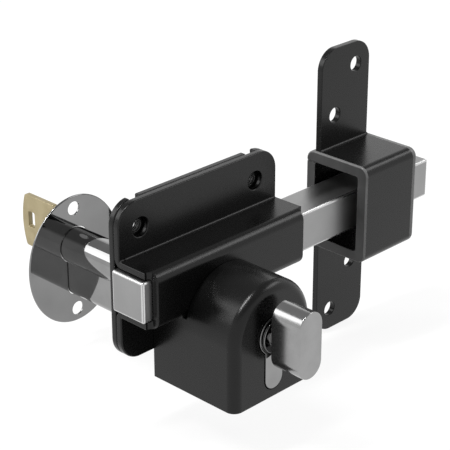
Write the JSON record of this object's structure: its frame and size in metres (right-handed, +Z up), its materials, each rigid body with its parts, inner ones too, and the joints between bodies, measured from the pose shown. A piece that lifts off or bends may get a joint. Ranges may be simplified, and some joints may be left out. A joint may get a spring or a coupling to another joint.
{
  "type": "rim lock",
  "caption": "Surface-mounted long-throw gate lock: square bolt in a folded case, profile cylinder with thumbturn, key and oval escutcheon, separate keep",
  "frame": {"origin": "on the back plate's rear face, on the cylinder's axis in X and on the bolt's centre line in Z", "axes": "+X along the bolt towards the keep, +Y out of the back plate into the gate towards the key, +Z up"},
  "size_m": [0.1805, 0.1775, 0.1388],
  "materials": {
    "black_coat": "satin black powder coat",
    "bolt_steel": "satin steel",
    "cylinder_chrome": "polished",
    "knob_chrome": "satin",
    "oval_chrome": "mirror polished",
    "plain_steel": "plain",
    "pin_brass": "turned",
    "key_brass": "pale, satin"
  },
  "bodies": {
    "case": {"case_channel": "black_coat", "back_plate": "black_coat", "stop_pin": "plain_steel", "cylinder_housing": "black_coat", "cylinder_body": "cylinder_chrome", "cylinder_screw": "plain_steel", "driver_pins": "pin_brass", "pin_springs": "plain_steel", "chamber_plugs": "pin_brass", "keep_tube": "black_coat", "keep_leg_upper": "black_coat", "keep_leg_lower": "black_coat", "escutcheon": "oval_chrome"},
    "bolt": {"bolt": "bolt_steel"},
    "rotor": {"knob": "knob_chrome", "knob_screw": "plain_steel", "turn_plug": "cylinder_chrome", "cog": "plain_steel", "coupler": "plain_steel", "circlips": "plain_steel", "key_plug": "cylinder_chrome", "key": "key_brass", "key_pins": "pin_brass"}
  },
  "joints": [
    {"name": "bolt_slide", "type": "slide", "parent": "case", "child": "bolt", "axis": [1, 0, 0], "range_m": [-0.075, 0]},
    {"name": "rotor_turn", "type": "hinge", "parent": "case", "child": "rotor", "pos_m": [0, 0, -0.018], "axis": [0, 1, 0], "range_deg": [-447.7, 0]}
  ],
  "couplings": [
    {"joint": "rotor_turn", "follows": "bolt_slide", "rad_per_m": 104.17}
  ]
}
